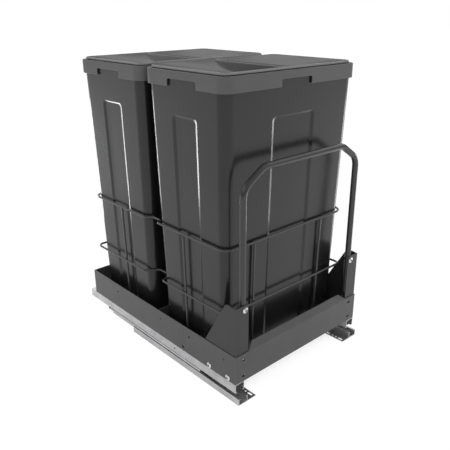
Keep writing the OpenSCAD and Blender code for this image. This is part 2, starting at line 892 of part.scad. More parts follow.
// m = 0 is the hollow, a larger m is the hollow grown by the plastic's thickness
module scoop(m) {
    rise = scoop_d + 3;
    rad = (scoop_half * scoop_half + rise * rise) / (2 * rise);
    intersection() {
        translate([0, scoop_half + m, 0]) rotate([90, 0, 0]) linear_extrude(2 * scoop_half + 2 * m)
            translate([0, -m]) polygon(concat([[-scoop_out - m, 20]],
                [for (p = scoop_floor(0)) p + [p[0] < -scoop_out + 1 ? -m : 0, 0]],
                [for (p = scoop_rise(0)) p + [m * 0.6, 0]], [[-crest_hw + m * 0.6, 20]]));
        translate([-scoop_out - m, 0, -rise + rad - m]) rotate([0, 90, 0])
            cylinder(r = rad, h = scoop_out + m, $fn = 180);
    }
}

// The crest is hollowed lengthwise by a wide arc, and a rib below keeps it whole
crest_half = scoop_half - 8;
rib_half = scoop_half - 4;

module crest_trough() {
    rad = (crest_half * crest_half + crest_dip * crest_dip) / (2 * crest_dip);
    translate([-crest_hw - 2, 0, rad - crest_dip]) rotate([0, 90, 0])
        cylinder(r = rad, h = 2 * (crest_hw + 2), $fn = 180);
}

module crest_rib() {
    translate([-crest_hw - 1, -rib_half, -crest_dip - 2 * wall])
        cube([2 * (crest_hw + 1), 2 * rib_half, crest_dip + 2 * wall - 1]);
}

module lid() {
    z0 = zt + lid_z;
    z1 = zt + lid_top;
    difference() {
        union() {
            translate([0, 0, z0]) linear_extrude(lid_edge) rrect(2 * lid_hw, 2 * lid_hl, lid_r);
            difference() {
                translate([0, 0, z0 - lid_gap + rest_gap]) linear_extrude(lid_gap)
                    rrect(2 * (lid_hw - step_in), 2 * (lid_hl - step_in), lid_r - step_in);
                translate([0, 0, z0 - lid_gap]) linear_extrude(lid_gap)
                    rrect(2 * (ring_hw - wall), 2 * (ring_hl - wall), ring_r - wall);
            }
            difference() {
                translate([0, 0, zt + rim_z - spigot]) linear_extrude(spigot + lid_gap + e)
                    rrect(2 * ring_hw, 2 * ring_hl, ring_r);
                translate([0, 0, zt + rim_z - spigot - 1]) linear_extrude(spigot + lid_gap + 1)
                    rrect(2 * (ring_hw - wall), 2 * (ring_hl - wall), ring_r - wall);
            }
            for (m = [0, 1]) mirror([m, 0, 0]) intersection() {
                translate([0, 0, z1]) scoop(wall);
                translate([-lid_hw, -lid_hl, z1 - 60]) cube([lid_hw, 2 * lid_hl, 60 - 1]);
            }
            translate([0, 0, z1]) crest_rib();
        }
        for (m = [0, 1]) mirror([m, 0, 0]) translate([0, 0, z1]) scoop(0);
        translate([0, 0, z1]) crest_trough();
    }
}

module lid_front() {
    color("#515153") set_y() translate([0, y_bin1, 0]) lid();
}

module lid_rear() {
    color("#515153") set_y() translate([0, y_bin2, 0]) lid();
}

cabinet_rail_left();
cabinet_rail_right();
cabinet_stops();
lower_cage_left();
lower_cage_right();
lower_balls_left();
lower_balls_right();
middle_rail_left();
middle_rail_right();
middle_stop_left();
middle_stop_right();
upper_cage_left();
upper_cage_right();
upper_balls_left();
upper_balls_right();
drawer_rail_left();
drawer_rail_right();
rail_plugs();
side_panel_left();
side_panel_right();
front_panel();
rear_panel();
cross_member();
corner_post_left();
corner_post_right();
arch_handle();
rail_screws();
post_screws();
member_screws();
arch_screws();
arch_nuts();
upper_hoop();
lower_hoop();
cross_wire_front();
cross_wire_rear();
long_wire_left();
long_wire_right();
bin_front();
bin_rear();
lid_front();
lid_rear();
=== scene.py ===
# Pull out bin frame: two lift-out bins in a wire basket, on a sheet steel tray with an arch
# handle, carried by a pair of ball slides. Metres, +Z up, front towards -Y.

import json
import math

import bpy
from mathutils import Matrix, Vector


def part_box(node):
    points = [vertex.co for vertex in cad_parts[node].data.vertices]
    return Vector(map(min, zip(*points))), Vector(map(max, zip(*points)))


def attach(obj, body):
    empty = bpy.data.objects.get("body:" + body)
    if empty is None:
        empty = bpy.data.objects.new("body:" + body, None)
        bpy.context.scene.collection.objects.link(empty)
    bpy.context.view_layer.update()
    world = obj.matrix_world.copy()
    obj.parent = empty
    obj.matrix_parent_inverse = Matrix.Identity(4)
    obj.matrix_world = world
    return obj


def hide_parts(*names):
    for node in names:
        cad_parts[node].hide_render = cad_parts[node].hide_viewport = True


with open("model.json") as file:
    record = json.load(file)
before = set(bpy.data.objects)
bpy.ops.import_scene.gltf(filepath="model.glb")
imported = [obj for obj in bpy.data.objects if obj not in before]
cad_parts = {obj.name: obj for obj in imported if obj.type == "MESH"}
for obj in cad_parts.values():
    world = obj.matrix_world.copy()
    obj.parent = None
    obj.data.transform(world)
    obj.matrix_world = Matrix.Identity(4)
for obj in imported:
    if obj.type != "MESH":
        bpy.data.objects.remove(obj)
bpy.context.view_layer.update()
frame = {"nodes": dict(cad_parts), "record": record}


# Camera: a product view from the front left, a little above the bins' lids.
# Place, turn and lens are those of the photograph, found from the tray's right angles.
camera_place = Vector((-0.7421, -0.8481, 0.6698))
camera_azimuth = math.radians(-42.16)
camera_elevation = math.radians(21.38)
camera_roll = math.radians(-0.23)
camera_lens = 45.01
camera_sensor = 36.0

bpy.ops.object.camera_add()
camera = bpy.context.object
camera.data.lens = camera_lens
camera.data.sensor_width = camera_sensor
turn = (Matrix.Rotation(camera_azimuth, 4, "Z") @ Matrix.Rotation(math.pi / 2 - camera_elevation, 4, "X")
        @ Matrix.Rotation(camera_roll, 4, "Z"))
camera.matrix_world = Matrix.Translation(camera_place) @ turn
bpy.context.scene.camera = camera


# Cabinet rails: roll formed steel channels with a foot flange, clear zinc plated, screwed to
# the floor of the cabinet. Rolling leaves soft outer corners and faint lines along the rail.
mm = 0.001
sides = ["left", "right"]


def linear(colour):
    channels = [int(colour[i:i + 2], 16) / 255 for i in (1, 3, 5)]
    return [c / 12.92 if c <= 0.04045 else ((c + 0.055) / 1.055) ** 2.4 for c in channels] + [1.0]


def add(tree, kind, inputs, **settings):
    node = tree.nodes.new(kind)
    for name, value in settings.items():
        setattr(node, name, value)
    for key, value in inputs.items():
        if isinstance(value, bpy.types.NodeSocket):
            tree.links.new(value, node.inputs[key])
        else:
            node.inputs[key].default_value = value
    return node


def new_material(name):
    material = bpy.data.materials.new(name)
    material.use_nodes = True
    tree = material.node_tree
    return material, tree, tree.nodes["Principled BSDF"]


def per_metre(size):
    return 1.0 / size


def zinc_plated_steel():
    # Clear zinc over rolled steel: pale satin metal, streaked along the rail and softly clouded
    streak_wide = 2.5 * mm
    streak_stretch = 0.02
    cloud_wide = 18 * mm
    material, tree, shader = new_material("zinc_plated_steel")
    place = add(tree, "ShaderNodeTexCoord", {}).outputs["Object"]
    along = add(tree, "ShaderNodeMapping",
                {"Vector": place, "Scale": (1.0, streak_stretch, 1.0)}).outputs[0]
    streaks = add(tree, "ShaderNodeTexNoise",
                  {"Vector": along, "Scale": per_metre(streak_wide), "Detail": 4.0}).outputs["Fac"]
    cloud = add(tree, "ShaderNodeTexNoise",
                {"Vector": place, "Scale": per_metre(cloud_wide), "Detail": 3.0}).outputs["Fac"]
    mixed = add(tree, "ShaderNodeMath", {0: streaks, 1: cloud}, operation="MULTIPLY").outputs[0]
    tone = add(tree, "ShaderNodeValToRGB", {"Fac": mixed})
    tone.color_ramp.elements[0].position = 0.12
    tone.color_ramp.elements[0].color = linear("#bbbbbd")
    tone.color_ramp.elements[1].position = 0.42
    tone.color_ramp.elements[1].color = linear("#d9d9da")
    gloss = add(tree, "ShaderNodeMapRange", {"Value": streaks, "To Min": 0.30, "To Max": 0.46})
    bump = add(tree, "ShaderNodeBump", {"Height": streaks, "Strength": 0.12, "Distance": 0.2 * mm})
    shader.inputs["Metallic"].default_value = 0.85
    tree.links.new(tone.outputs["Color"], shader.inputs["Base Color"])
    tree.links.new(gloss.outputs[0], shader.inputs["Roughness"])
    tree.links.new(bump.outputs["Normal"], shader.inputs["Normal"])
    return material


def body_of_node(name):
    bodies = frame["record"]["behaviour"]["bodies"]
    return next(body for body, nodes in bodies.items() if name in nodes)


def only(piece):
    bpy.ops.object.select_all(action="DESELECT")
    piece.select_set(True)
    bpy.context.view_layer.objects.active = piece


def smooth(piece, degrees=35):
    only(piece)
    bpy.ops.object.shade_smooth_by_angle(angle=math.radians(degrees))


def apply(piece, kind, **settings):
    only(piece)
    modifier = piece.modifiers.new(kind.lower(), kind)
    for name, value in settings.items():
        setattr(modifier, name, value)
    bpy.ops.object.modifier_apply(modifier=modifier.name)


def stands_for(piece, node):
    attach(piece, body_of_node(node))
    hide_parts(node)


def paint(piece, *materials):
    piece.data.materials.clear()
    for material in materials:
        piece.data.materials.append(material)


weld_gap = 0.002 * mm
flat_angle = math.radians(0.5)
edge_angle = math.radians(40)


def eased(node, piece_name, material, edge, edge_highlight_material=None):
    # The node's own shape, merged, with the edges rounded as bending or moulding leaves them
    piece = bpy.data.objects.new(piece_name, frame["nodes"][node].data.copy())
    bpy.context.collection.objects.link(piece)
    paint(piece, material, edge_highlight_material or material)
    only(piece)
    bpy.ops.object.mode_set(mode="EDIT")
    bpy.ops.mesh.select_all(action="SELECT")
    bpy.ops.mesh.customdata_custom_splitnormals_clear()
    bpy.ops.mesh.remove_doubles(threshold=weld_gap)
    bpy.ops.mesh.dissolve_limited(angle_limit=flat_angle)
    bpy.ops.object.mode_set(mode="OBJECT")
    # Where a second material is given, the rounded edges take it as a painted highlight
    apply(piece, "BEVEL", width=edge, segments=2, limit_method="ANGLE", angle_limit=edge_angle,
          material=1)
    smooth(piece)
    apply(piece, "WEIGHTED_NORMAL", keep_sharp=True)
    stands_for(piece, node)


zinc = zinc_plated_steel()
for side in sides:
    eased(f"cabinet_rail_{side}", f"floor_rail_{side}", zinc, edge=0.5 * mm)


# Ball cages and balls: stamped steel strips that space polished steel balls, hidden in the
# rails. The strips are pressed from sheet and greased, the balls are ground and polished.
def stamped_steel():
    # A film of grease dulls the strips in patches
    film_wide = 6 * mm
    material, tree, shader = new_material("greased_stamped_steel")
    place = add(tree, "ShaderNodeTexCoord", {}).outputs["Object"]
    film = add(tree, "ShaderNodeTexNoise",
               {"Vector": place, "Scale": per_metre(film_wide), "Detail": 4.0}).outputs["Fac"]
    tone = add(tree, "ShaderNodeValToRGB", {"Fac": film})
    tone.color_ramp.elements[0].color = linear("#6f6f6c")
    tone.color_ramp.elements[1].color = linear("#96968f")
    gloss = add(tree, "ShaderNodeMapRange", {"Value": film, "To Min": 0.3, "To Max": 0.55})
    shader.inputs["Metallic"].default_value = 1.0
    tree.links.new(tone.outputs["Color"], shader.inputs["Base Color"])
    tree.links.new(gloss.outputs[0], shader.inputs["Roughness"])
    return material


def polished_steel():
    # Near mirrors, with fine rolling marks
    mark_wide = 0.8 * mm
    material, tree, shader = new_material("polished_ball_steel")
    place = add(tree, "ShaderNodeTexCoord", {}).outputs["Object"]
    marks = add(tree, "ShaderNodeTexNoise",
                {"Vector": place, "Scale": per_metre(mark_wide), "Detail": 6.0}).outputs["Fac"]
    gloss = add(tree, "ShaderNodeMapRange", {"Value": marks, "To Min": 0.06, "To Max": 0.16})
    shader.inputs["Metallic"].default_value = 1.0
    shader.inputs["Base Color"].default_value = linear("#d9d9dc")
    tree.links.new(gloss.outputs[0], shader.inputs["Roughness"])
    return material


def dress(node, material):
    piece = frame["nodes"][node]
    paint(piece, material)


cage_steel = stamped_steel()
ball_steel = polished_steel()
for side in sides:
    for level in ["lower", "upper"]:
        dress(f"{level}_cage_{side}", cage_steel)
        dress(f"{level}_balls_{side}", ball_steel)


# Middle rails with their end stops, and the stop blocks of the cabinet rails. The rails are
# the same zinc plated steel, and the stops are moulded in black nylon.
def black_moulding():
    # Dull near black, with the fine grain of a spark eroded mould
    grain_wide = 0.9 * mm
    material, tree, shader = new_material("black_nylon_and_painted_shade")
    place = add(tree, "ShaderNodeTexCoord", {}).outputs["Object"]
    grain = add(tree, "ShaderNodeTexNoise",
                {"Vector": place, "Scale": per_metre(grain_wide), "Detail": 3.0}).outputs["Fac"]
    tone = add(tree, "ShaderNodeValToRGB", {"Fac": grain})
    tone.color_ramp.elements[0].color = linear("#161616")
    tone.color_ramp.elements[1].color = linear("#262626")
    bump = add(tree, "ShaderNodeBump", {"Height": grain, "Strength": 0.2, "Distance": 0.1 * mm})
    shader.inputs["Roughness"].default_value = 0.5
    tree.links.new(tone.outputs["Color"], shader.inputs["Base Color"])
    tree.links.new(bump.outputs["Normal"], shader.inputs["Normal"])
    return material


black = black_moulding()
eased("cabinet_stops", "floor_rail_stops", black, edge=0.6 * mm)
for side in sides:
    eased(f"middle_rail_{side}", f"middle_slide_{side}", zinc, edge=0.8 * mm)
    eased(f"middle_stop_{side}", f"middle_slide_stop_{side}", black, edge=0.6 * mm)


# Drawer rails: zinc plated channels that carry the tray, with an upstand behind each side
# panel and a ledge under the basket. A round ended nylon plug closes each front end.
for side in sides:
    eased(f"drawer_rail_{side}", f"tray_rail_{side}", zinc, edge=0.6 * mm)
eased("rail_plugs", "tray_rail_plugs", black, edge=0.8 * mm)


# Tray: folded steel panels in a fine textured grey powder coat, screwed to the drawer rails.
# A paler coat on the rounded cut edges is a painted highlight, the light line that these edges catch.
def powder_coat(name, dark, light, rough, peel_wide):
    # Baked powder: a faint orange peel that breaks the gloss, and a slow change of tone
    cloud_wide = 60 * mm
    rough_spread = 0.06
    material, tree, shader = new_material(name)
    place = add(tree, "ShaderNodeTexCoord", {}).outputs["Object"]
    peel = add(tree, "ShaderNodeTexNoise",
               {"Vector": place, "Scale": per_metre(peel_wide), "Detail": 2.0}).outputs["Fac"]
    cloud = add(tree, "ShaderNodeTexNoise",
                {"Vector": place, "Scale": per_metre(cloud_wide), "Detail": 2.0}).outputs["Fac"]
    both = add(tree, "ShaderNodeMath", {0: peel, 1: cloud}, operation="ADD").outputs[0]
    mean = add(tree, "ShaderNodeMath", {0: both, 1: 0.5}, operation="MULTIPLY").outputs[0]
    tone = add(tree, "ShaderNodeValToRGB", {"Fac": mean})
    tone.color_ramp.elements[0].position = 0.35
    tone.color_ramp.elements[0].color = linear(dark)
    tone.color_ramp.elements[1].position = 0.65
    tone.color_ramp.elements[1].color = linear(light)
    gloss = add(tree, "ShaderNodeMapRange",
                {"Value": peel, "To Min": rough - rough_spread, "To Max": rough + rough_spread})
    bump = add(tree, "ShaderNodeBump", {"Height": peel, "Strength": 0.15, "Distance": 0.05 * mm})
    tree.links.new(tone.outputs["Color"], shader.inputs["Base Color"])
    tree.links.new(gloss.outputs[0], shader.inputs["Roughness"])
    tree.links.new(bump.outputs["Normal"], shader.inputs["Normal"])
    return material


fine_peel = 0.7 * mm
sheet_coat = powder_coat("textured_powder_coat", "#525253", "#5c5c5d", 0.45, fine_peel)
# A paler copy of the coat for the rounded cut edges: a painted edge highlight
edge_highlight_coat = powder_coat("painted_edge_highlight_coat", "#949495", "#a0a0a1", 0.4, fine_peel)
for side in sides:
    eased(f"side_panel_{side}", f"tray_side_{side}", sheet_coat, 0.6 * mm, edge_highlight_coat)
eased("rear_panel", "tray_rear", sheet_coat, edge=0.4 * mm)
eased("cross_member", "tray_cross_plate", sheet_coat, edge=0.5 * mm)
eased("front_panel", "tray_front", sheet_coat, 0.5 * mm, edge_highlight_coat)


# Corner posts: folded from darker coated sheet, a front plate and a gusset, screwed to the
# sides from within. Their rounded edges carry the paler tray coat as a painted highlight.
post_coat = powder_coat("dark_textured_powder_coat", "#323233", "#39393a", 0.45, fine_peel)
for side in sides:
    # The rounded edges take the paler tray coat: a painted highlight
    eased(f"corner_post_{side}", f"tray_post_{side}", post_coat, 0.5 * mm, sheet_coat)


# Arch handle: one round steel bar bent to an arch, with its ends bolted behind the posts.
# Its dark powder coat is smoother than the tray's, so a bright line follows the bar.
smooth_peel = 1.6 * mm
bar_coat = powder_coat("smooth_powder_coat", "#383839", "#3f3f40", 0.2, smooth_peel)
dress("arch_handle", bar_coat)


# Screws and nuts: cross slotted pan heads in bright zinc, driven through the folded sheet,
# and black hexagon nuts behind the arch.
def bright_zinc():
    # Bright plate over a formed head: clear highlights with faint handling marks
    mark_wide = 0.6 * mm
    material, tree, shader = new_material("bright_zinc_plate")
    place = add(tree, "ShaderNodeTexCoord", {}).outputs["Object"]
    marks = add(tree, "ShaderNodeTexNoise",
                {"Vector": place, "Scale": per_metre(mark_wide), "Detail": 5.0}).outputs["Fac"]
    gloss = add(tree, "ShaderNodeMapRange", {"Value": marks, "To Min": 0.14, "To Max": 0.32})
    shader.inputs["Metallic"].default_value = 1.0
    shader.inputs["Base Color"].default_value = linear("#dededf")
    tree.links.new(gloss.outputs[0], shader.inputs["Roughness"])
    return material


slot_deep = 1.7 * mm
slot_skin = 0.02 * mm
slot_square = 0.9995
thread_end = 2 * mm


def paint_shade_in_cross_slots(node, axis):
    # Painted shade: the flat floors and walls of the cross slots take the black moulding in place of the
    # shade under the heads' domes
    screw = frame["nodes"][node]
    low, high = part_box(node)
    screw.data.materials.append(black)
    for face in screw.data.polygons:
        under_dome = min(face.center[axis] - low[axis], high[axis] - face.center[axis])
        square = max(abs(part) for part in face.normal) > slot_square
        face.material_index = int(square and slot_skin < under_dome < slot_deep)


def paint_shade_on_thread_ends(node):
    # Painted shade: the threaded ends of the inner screws take the black moulding in place of the shade
    # in the holes of the side panels
    screw = frame["nodes"][node]
    thread_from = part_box("side_panel_right")[1].x - thread_end
    screw.data.materials.append(black)
    for face in screw.data.polygons:
        if abs(face.center.x) > thread_from:
            face.material_index = 1


screw_zinc = bright_zinc()
for node in ["rail_screws", "post_screws", "member_screws", "arch_screws"]:
    dress(node, screw_zinc)
# Painted shade in the cross slots
paint_shade_in_cross_slots("rail_screws", 0)
paint_shade_in_cross_slots("arch_screws", 1)
# Painted shade on the threaded ends in the side panels' holes
paint_shade_on_thread_ends("post_screws")
paint_shade_on_thread_ends("member_screws")
dress("arch_nuts", black)


# Wire basket: steel wire bent to hoops and U shapes, spot welded where they cross, then
# powder coated a little paler than the arch.
wire_coat = powder_coat("wire_powder_coat", "#464647", "#4d4d4e", 0.16, smooth_peel)
for node in ["upper_hoop", "lower_hoop", "cross_wire_front", "cross_wire_rear", "long_wire_left",
             "long_wire_right"]:
    dress(node, wire_coat)


# Bins: injection moulded polypropylene in anthracite, leaning walls with sunk panels, and a
# collar with a hanging skirt that is notched for the fingers. They stand in the basket.
def moulded_plastic(name, dark, light, rough, shine):
    # Moulded skin: an even dark tone with slow flow clouds, and a grain that softens the gloss
    grain_wide = 0.8 * mm
    cloud_wide = 90 * mm
    rough_spread = 0.04
    material, tree, shader = new_material(name)
    place = add(tree, "ShaderNodeTexCoord", {}).outputs["Object"]
    grain = add(tree, "ShaderNodeTexNoise",
                {"Vector": place, "Scale": per_metre(grain_wide), "Detail": 2.0}).outputs["Fac"]
    cloud = add(tree, "ShaderNodeTexNoise",
                {"Vector": place, "Scale": per_metre(cloud_wide), "Detail": 3.0}).outputs["Fac"]
    tone = add(tree, "ShaderNodeValToRGB", {"Fac": cloud})
    tone.color_ramp.elements[0].position = 0.3
    tone.color_ramp.elements[0].color = linear(dark)
    tone.color_ramp.elements[1].position = 0.7
    tone.color_ramp.elements[1].color = linear(light)
    gloss = add(tree, "ShaderNodeMapRange",
                {"Value": cloud, "To Min": rough - rough_spread, "To Max": rough + rough_spread})
    bump = add(tree, "ShaderNodeBump", {"Height": grain, "Strength": 0.06, "Distance": 0.05 * mm})
    shader.inputs["IOR"].default_value = 1.49
    shader.inputs["Specular IOR Level"].default_value = shine
    tree.links.new(tone.outputs["Color"], shader.inputs["Base Color"])
    tree.links.new(gloss.outputs[0], shader.inputs["Roughness"])
    tree.links.new(bump.outputs["Normal"], shader.inputs["Normal"])
    return material


def pick(piece, kind, test):
    # Select the faces, edges or corners of a piece that pass a test on their place
    only(piece)
    bpy.ops.object.mode_set(mode="EDIT")
    bpy.ops.mesh.select_mode(type=kind)
    bpy.ops.mesh.select_all(action="DESELECT")
    bpy.ops.object.mode_set(mode="OBJECT")
    mesh = piece.data
    parts = {"FACE": mesh.polygons, "EDGE": mesh.edges, "VERT": mesh.vertices}[kind]
    for part in parts:
        if kind == "FACE":
            part.select = test(part)
        elif kind == "EDGE":
            part.select = test(*[mesh.vertices[v].co for v in part.vertices])
        else:
            part.select = test(part.co)
    bpy.ops.object.mode_set(mode="EDIT")


def rounded_block(half_x, half_y, low, high, radius, steps):
    # A block with its four upright edges rounded
    bpy.ops.object.select_all(action="DESELECT")
    bpy.ops.mesh.primitive_cube_add(size=2, location=(0, 0, (low + high) / 2),
                                    scale=(half_x, half_y, (high - low) / 2))
    block = bpy.context.object
    bpy.ops.object.transform_apply(location=True, rotation=True, scale=True)
    pick(block, "EDGE", lambda a, b: abs(a.z - b.z) > (high - low) / 2)
    bpy.ops.mesh.bevel(offset=radius, segments=steps, affect="EDGES", clamp_overlap=False)
    bpy.ops.object.mode_set(mode="OBJECT")
    return block


def carve(piece, tool, operation="DIFFERENCE"):
    apply(piece, "BOOLEAN", object=tool, operation=operation, solver="EXACT",
          material_mode="TRANSFER")
    bpy.data.objects.remove(tool)


def lay_on_wall(tool, quarter, tip, out, height):
    # Stand a flat lying tool up against the wall that a number of quarter turns leads to
    tool.rotation_euler = (math.pi / 2 + tip, 0, quarter * math.pi / 2)
    tool.location = Matrix.Rotation(quarter * math.pi / 2, 3, "Z") @ Vector((0, -out, height))
    only(tool)
    bpy.ops.object.transform_apply(location=True, rotation=True, scale=True)


low_corner, high_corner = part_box("bin_front")
bin_low = low_corner.z
bin_top = high_corner.z
collar_x = (high_corner.x - low_corner.x) / 2
collar_y = (high_corner.y - low_corner.y) / 2
collar_tall = 26 * mm
collar_radius = 20 * mm
collar_edge = 0.6 * mm
collar_edge_angle = math.radians(30)
corner_steps = 10
cut_past = 5 * mm
skirt = 2 * mm
skirt_low = bin_top - collar_tall
mouth_in = 15 * mm
notch_half = 38 * mm
notch_tall = 13 * mm
notch_radius = 4 * mm
notch_steps = 5

bin_wall = 2.4 * mm
body_in = 4 * mm
body_radius = 20 * mm
foot_radius = 8 * mm
foot_steps = 8
lean = math.radians(1.3)
panel_top = 494 * mm
panel_past = 10 * mm
panel_sink = 2.2 * mm
panel_slope = 3.2 * mm
panel_radius = 7 * mm
panel_steps = 6
panel_edge = 1.0 * mm
panel_edge_angle = math.radians(14)
wide_panel = 102 * mm
narrow_panel = 60 * mm
bin_smooth = 25
quarters = [(0, collar_y, wide_panel), (1, collar_x, narrow_panel),
            (2, collar_y, wide_panel), (3, collar_x, narrow_panel)]


def wall_half(half, height):
    # Half width of the body at a height: it leans in downwards from the skirt's lower edge
    return half - body_in - (skirt_low - height) * math.tan(lean)


def sunk_panel(quarter, half, width):
    # A tool with sloping sides and round corners, laid on one leaning wall
    low = bin_low - panel_past
    middle = (panel_top + low) / 2
    tall = (panel_top - low) / 2
    floor_level = -panel_sink
    mouth_level = 2 * panel_sink
    near = 0.1 * mm
    tool = rounded_block(width / 2, tall, floor_level, mouth_level, panel_radius, panel_steps)
    for level, grow in [(floor_level, -panel_slope), (mouth_level, 5 * panel_slope)]:
        pick(tool, "VERT", lambda co: abs(co.z - level) < near)
        bpy.ops.transform.resize(value=(1 + 2 * grow / width, 1 + grow / tall / 2, 1),
                                 center_override=(0, 0, level))
        bpy.ops.object.mode_set(mode="OBJECT")
    lay_on_wall(tool, quarter, lean, wall_half(half, middle), middle)
    return tool


def bin_body():
    high = bin_top - bin_wall / 2
    body = rounded_block(wall_half(collar_x, high), wall_half(collar_y, high), bin_low, high,
                         body_radius, corner_steps)
    pick(body, "VERT", lambda co: co.z < bin_low + mm)
    shrink_x = wall_half(collar_x, bin_low) / wall_half(collar_x, high)
    shrink_y = wall_half(collar_y, bin_low) / wall_half(collar_y, high)
    bpy.ops.transform.resize(value=(shrink_x, shrink_y, 1), center_override=(0, 0, bin_low))
    bpy.ops.object.mode_set(mode="OBJECT")
    pick(body, "EDGE", lambda a, b: max(a.z, b.z) < bin_low + mm)
    bpy.ops.mesh.bevel(offset=foot_radius, segments=foot_steps, affect="EDGES")
    bpy.ops.object.mode_set(mode="OBJECT")
    for quarter, half, width in quarters:
        carve(body, sunk_panel(quarter, half, width))
    pick(body, "FACE", lambda face: face.normal.z > 0.9)
    bpy.ops.mesh.delete(type="FACE")
    bpy.ops.object.mode_set(mode="OBJECT")
    apply(body, "BEVEL", width=panel_edge, segments=2, limit_method="ANGLE",
          angle_limit=panel_edge_angle)
    apply(body, "SOLIDIFY", thickness=bin_wall, offset=-1)
    return body


def bin_collar():
    collar = rounded_block(collar_x, collar_y, skirt_low, bin_top, collar_radius, corner_steps)
    carve(collar, rounded_block(collar_x - skirt, collar_y - skirt, skirt_low - cut_past,
                                bin_top - bin_wall, collar_radius - skirt, corner_steps))
    carve(collar, rounded_block(collar_x - mouth_in, collar_y - mouth_in, skirt_low,
                                bin_top + cut_past, body_radius - bin_wall, corner_steps))
    for quarter, half, width in quarters:
        notch = rounded_block(notch_half, notch_tall, -body_in, body_in, notch_radius, notch_steps)
        lay_on_wall(notch, quarter, 0, half, skirt_low)
        carve(collar, notch)
    apply(collar, "BEVEL", width=collar_edge, segments=2, limit_method="ANGLE",
          angle_limit=collar_edge_angle)
    return collar


def placed_copy(source, name, node):
    # A copy with its own mesh, moved to the place of the node it stands for
    low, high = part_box(node)
    piece = bpy.data.objects.new(name, source.data.copy())
    bpy.context.collection.objects.link(piece)
    piece.location = ((low.x + high.x) / 2, (low.y + high.y) / 2, 0)
    only(piece)
    bpy.ops.object.transform_apply(location=True, rotation=True, scale=True)
    return piece


bin_plastic = moulded_plastic("gloss_moulded_polypropylene", "#1f1f20", "#252526", 0.26, 0.5)
collar_plastic = moulded_plastic("matt_moulded_polypropylene", "#636364", "#6b6b6c", 0.55, 0.4)
shell = bin_body()
paint(shell, bin_plastic)
collar = bin_collar()
paint(collar, collar_plastic)
carve(shell, collar, "UNION")
smooth(shell, bin_smooth)
apply(shell, "WEIGHTED_NORMAL", keep_sharp=True)
ends = ["front", "rear"]
for end in ends:
    piece = placed_copy(shell, f"waste_bin_{end}", f"bin_{end}")
    stands_for(piece, f"bin_{end}")
bpy.data.objects.remove(shell)


# Lids: moulded plates that drop into the collar, dished to two hand scoops with a crest left
# between them for the fingers. A duller skin than the bins', and a paler rounded rim that is a painted
# highlight.
lid_low, lid_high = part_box("lid_front")
lid_x = (lid_high.x - lid_low.x) / 2
lid_y = (lid_high.y - lid_low.y) / 2
lid_top = lid_high.z
lid_rim = 3 * mm
lid_edge = 3.7 * mm
lid_round = 3 * mm
lid_radius = 14 * mm
scoop_deep = 18 * mm
scoop_flat = 34 * mm
crest_half = 9 * mm
crest_deep = 2 * mm
crest_slope = 0.6
crease = 3 * mm
grid_x = 180
grid_y = 120
seat_in = 4 * mm
seat_wide = 8 * mm
seat_radius = 10 * mm
seat_gap = 0.2 * mm
seat_sunk = 0.3 * mm
spigot_in = 9 * mm
spigot_under = 6 * mm
spigot_radius = 20 * mm


def lid_dip(x, y, inward):
    # Depth of the lid's face: a bowl each side of the crest, both running out at the rim,
    # and a rounded outer edge. The crest's walls meet the bowl in a soft crease.
    along = max(1 - (y / (lid_y - lid_rim)) ** 2, 0.0)
    out = max(abs(x) - scoop_flat, 0.0) / (lid_x - lid_rim - scoop_flat)
    bowl = scoop_deep * along * max(1 - out ** 2, 0.0)
    crest = crest_deep + crest_slope * max(abs(x) - crest_half, 0.0)
    near = max(crease - abs(crest - bowl), 0.0) / crease
    dip = max(min(crest, bowl) - near ** 2 * crease / 4, 0.0)
    edge = max(lid_round - inward, 0.0)
    return dip + lid_round - math.sqrt(lid_round ** 2 - edge ** 2)


def past_corner(x, y):
    # How far a point lies past the centre of the nearest corner's arc, along X and along Y
    return abs(x) - (lid_x - lid_radius), abs(y) - (lid_y - lid_radius)


def lid_plate():
    # A grid, drawn closer towards its sides, with its corners pulled to arcs, then thickened
    bpy.ops.object.select_all(action="DESELECT")
    bpy.ops.mesh.primitive_grid_add(x_subdivisions=grid_x, y_subdivisions=grid_y, size=2)
    plate = bpy.context.object
    for corner in plate.data.vertices:
        x = lid_x * math.sin(corner.co.x * math.pi / 2)
        y = lid_y * math.sin(corner.co.y * math.pi / 2)
        past_x, past_y = past_corner(x, y)
        inward = min(lid_x - abs(x), lid_y - abs(y))
        if min(past_x, past_y) > 0:
            pull = max(past_x, past_y) / math.hypot(past_x, past_y)
            x = math.copysign(lid_x - lid_radius + past_x * pull, x)
            y = math.copysign(lid_y - lid_radius + past_y * pull, y)
        corner.co = (x, y, lid_top - lid_dip(x, y, inward))
    only(plate)
    bpy.ops.object.mode_set(mode="EDIT")
    bpy.ops.mesh.select_all(action="SELECT")
    bpy.ops.mesh.extrude_region_move(
        TRANSFORM_OT_translate={"value": (0, 0, lid_round - lid_edge)})
    bpy.ops.mesh.select_all(action="SELECT")
    bpy.ops.mesh.normals_make_consistent(inside=False)
    bpy.ops.object.mode_set(mode="OBJECT")
    return plate


def lid_ring(ring_in, thick, low, high, radius):
    ring = rounded_block(lid_x - ring_in, lid_y - ring_in, low, high, radius, corner_steps)
    carve(ring, rounded_block(lid_x - ring_in - thick, lid_y - ring_in - thick, low - mm, high + mm,
                              radius - thick, corner_steps))
    return ring


lid_plastic = moulded_plastic("matt_moulded_lid", "#303031", "#363637", 0.26, 0.08)
rim_highlight_plastic = moulded_plastic("painted_lid_rim_highlight", "#8a8a8b", "#929293", 0.5, 0.4)
plate = lid_plate()
seat = lid_ring(seat_in, seat_wide, bin_top + seat_gap, lid_top - lid_edge + seat_sunk, seat_radius)
spigot = lid_ring(spigot_in, bin_wall, lid_low.z, lid_top - spigot_under, spigot_radius)
only(plate)
seat.select_set(True)
spigot.select_set(True)
bpy.ops.object.join()
smooth(plate)
paint(plate, lid_plastic, rim_highlight_plastic)
